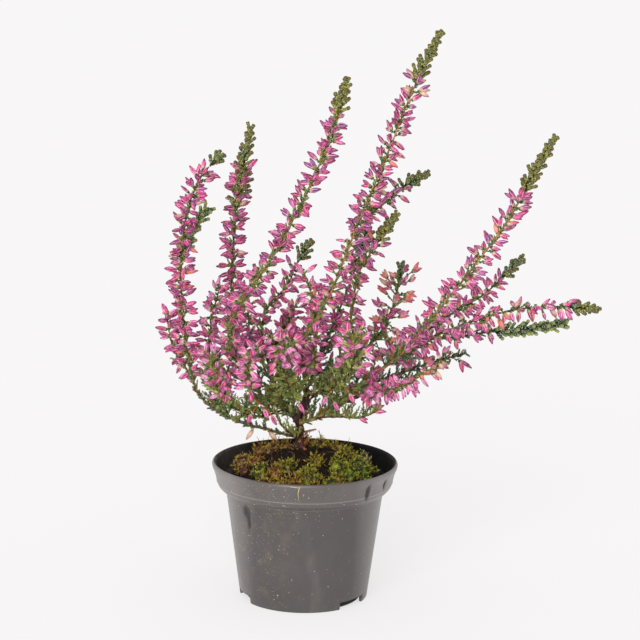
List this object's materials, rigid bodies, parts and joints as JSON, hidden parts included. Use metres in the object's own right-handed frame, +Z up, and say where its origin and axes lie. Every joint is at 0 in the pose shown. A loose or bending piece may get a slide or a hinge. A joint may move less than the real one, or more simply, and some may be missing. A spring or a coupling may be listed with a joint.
{
  "type": "potted heather",
  "caption": "Small heather bush with spikes of closed buds and green tips on woody stems, in a tapered round nursery pot with mossy soil.",
  "frame": {"origin": "on the ground under the middle of the whole plant's box; the pot's axis is at x -25.6 mm, y -2.8 mm", "axes": "+Z up, -Y towards the viewer's front, +X towards the long leaning spikes"},
  "size_m": [0.1668, 0.0842, 0.2154],
  "materials": {
    "pot": "moulded satin, scuffed",
    "soil": "crumbly, damp",
    "moss": "tufted",
    "bark": "rough bark",
    "leaves": "leathery scale leaves",
    "tips": "leathery scale leaves",
    "buds": "papery sepals, soft sheen"
  },
  "bodies": {
    "root": {"pot": "pot", "root_ball": "soil", "moss_front": "moss", "moss_right": "moss", "moss_back": "moss", "moss_left": "moss", "trunk": "bark", "outer_left_leaves": "leaves", "outer_left_buds": "buds", "outer_left_tip": "tips", "outer_left_side_buds": "buds", "rear_left_leaves": "leaves", "rear_left_buds": "buds", "rear_left_tip": "tips", "left_lean_leaves": "leaves", "left_lean_buds": "buds", "left_lean_tip": "tips", "left_low_buds": "buds", "left_middle_leaves": "leaves", "left_middle_buds": "buds", "tallest_leaves": "leaves", "tallest_buds": "buds", "tallest_tip": "tips", "tallest_side_buds": "buds", "tallest_side_tip": "tips", "centre_buds": "buds", "middle_left_leaves": "leaves", "middle_left_buds": "buds", "middle_left_tip": "tips", "middle_right_leaves": "leaves", "middle_right_buds": "buds", "middle_right_tip": "tips", "back_middle_leaves": "leaves", "back_middle_buds": "buds", "back_middle_tip": "tips", "back_right_leaves": "leaves", "back_right_buds": "buds", "back_right_tip": "tips", "back_left_leaves": "leaves", "back_left_buds": "buds", "back_left_tip": "tips", "back_low_leaves": "leaves", "back_low_buds": "buds", "right_high_buds": "buds", "right_high_tip": "tips", "right_flat_buds": "buds", "right_flat_tip": "tips", "right_middle_leaves": "leaves", "right_middle_buds": "buds", "right_middle_tip": "tips", "right_low_buds": "buds", "outer_left_green_leaves": "leaves", "right_flat_green_leaves": "leaves", "right_rear_green_leaves": "leaves", "low_right_rear_leaves": "leaves", "low_right_front_leaves": "leaves", "front_left_green_leaves": "leaves", "front_right_green_leaves": "leaves", "left_green_leaves": "leaves", "trunk_sprig_leaves": "leaves"}
  },
  "joints": []
}
